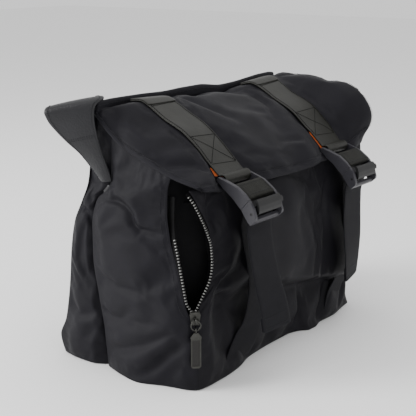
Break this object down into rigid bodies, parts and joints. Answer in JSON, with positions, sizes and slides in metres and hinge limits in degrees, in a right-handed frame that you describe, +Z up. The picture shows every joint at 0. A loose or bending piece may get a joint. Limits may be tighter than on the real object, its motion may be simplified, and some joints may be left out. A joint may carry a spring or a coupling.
{
  "type": "flight bag",
  "caption": "Soft wedge-shaped flight bag with a hinged flap, buckled straps with lever releases, a zipped corner pocket and a shoulder strap.",
  "frame": {"origin": "middle of the base, on the surface it stands on", "axes": "+X to the right seen from the front, the front faces -Y, +Z up"},
  "size_m": [0.4268, 0.2817, 0.3053],
  "materials": {
    "nylon": "dark navy-charcoal nylon twill, slight sheen",
    "lining": "plain black lining cloth",
    "hem": "folded nylon hem, topstitched",
    "webbing": "navy ribbed webbing",
    "olive_webbing": "olive ribbed webbing",
    "olive_leather": "dark olive leather, low sheen",
    "orange_leather": "orange suede underside",
    "strap_leather": "pebbled dark leather band",
    "buckle_plastic": "gunmetal moulded plastic",
    "dark_plastic": "black moulded plastic",
    "zip_metal": "nickel zip teeth",
    "black_nickel": "black nickel hardware",
    "zip_cloth": "black zip tape",
    "pull_rubber": "dark insert"
  },
  "bodies": {
    "shell": {"front_panel": "nylon", "back_panel": "nylon", "base_panel": "nylon", "side_left_front": "nylon", "side_left_back": "nylon", "side_right_front": "nylon", "side_right_back": "nylon", "main_lining": "lining", "back_binding": "hem", "zip_tape_left": "zip_cloth", "zip_tape_right": "zip_cloth", "zip_teeth_left": "zip_metal", "zip_teeth_right": "zip_metal", "zip_top_stops": "zip_metal", "zip_pocket_lining": "lining", "strap_anchor_left": "strap_leather", "strap_anchor_right": "strap_leather"},
    "flap": {"flap_shell": "nylon", "flap_lining": "lining", "flap_hem_front": "hem", "flap_hem_left": "hem", "flap_hem_right": "hem", "flap_strap_left": "olive_leather", "strap_backing_left": "orange_leather", "buckle_frame_left": "buckle_plastic", "buckle_wrap_left": "olive_webbing", "flap_strap_right": "olive_leather", "strap_backing_right": "orange_leather", "buckle_frame_right": "buckle_plastic", "buckle_wrap_right": "olive_webbing"},
    "front_strap_left": {"front_strap_left": "webbing", "buckle_base_left": "buckle_plastic", "lever_pin_left": "dark_plastic"},
    "front_strap_right": {"front_strap_right": "webbing", "buckle_base_right": "buckle_plastic", "lever_pin_right": "dark_plastic"},
    "lever_left": {"buckle_lever_left": "dark_plastic"},
    "lever_right": {"buckle_lever_right": "dark_plastic"},
    "zip_slider": {"zip_slider": "black_nickel"},
    "zip_ring": {"zip_ring": "black_nickel"},
    "zip_pull": {"zip_pull_frame": "black_nickel", "zip_pull_insert": "pull_rubber"},
    "shoulder_strap": {"shoulder_strap": "strap_leather"}
  },
  "joints": [
    {"name": "flap_hinge", "type": "hinge", "parent": "shell", "child": "flap", "pos_m": [0, 0.031, 0.305], "axis": [-1, 0, 0], "range_deg": [0, 180]},
    {"name": "front_strap_left_swing", "type": "hinge", "parent": "shell", "child": "front_strap_left", "pos_m": [-0.1086, -0.0932, 0.0012], "axis": [1, 0, 0], "range_deg": [0, 40]},
    {"name": "buckle_lever_left_lift", "type": "hinge", "parent": "front_strap_left", "child": "lever_left", "pos_m": [-0.1086, -0.14413, 0.19488], "axis": [1, 0, 0], "range_deg": [0, 60]},
    {"name": "front_strap_right_swing", "type": "hinge", "parent": "shell", "child": "front_strap_right", "pos_m": [0.1086, -0.0932, 0.0012], "axis": [1, 0, 0], "range_deg": [0, 40]},
    {"name": "buckle_lever_right_lift", "type": "hinge", "parent": "front_strap_right", "child": "lever_right", "pos_m": [0.1086, -0.14413, 0.19488], "axis": [1, 0, 0], "range_deg": [0, 60]},
    {"name": "zip_slide", "type": "slide", "parent": "shell", "child": "zip_slider", "axis": [0.0178, 0.0446, 0.9988], "range_m": [0, 0.104]},
    {"name": "zip_ring_swing", "type": "hinge", "parent": "zip_slider", "child": "zip_ring", "pos_m": [-0.1808, -0.1048, 0.081], "axis": [-0.7071, 0.7071, 0], "range_deg": [0, 110]},
    {"name": "zip_pull_swing", "type": "hinge", "parent": "zip_ring", "child": "zip_pull", "pos_m": [-0.1808, -0.1048, 0.0706], "axis": [-0.7071, 0.7071, 0], "range_deg": [0, 80]},
    {"name": "shoulder_strap_swing", "type": "hinge", "parent": "shell", "child": "shoulder_strap", "pos_m": [0, 0.016, 0.203], "axis": [1, 0, 0], "range_deg": [0, 8]}
  ]
}
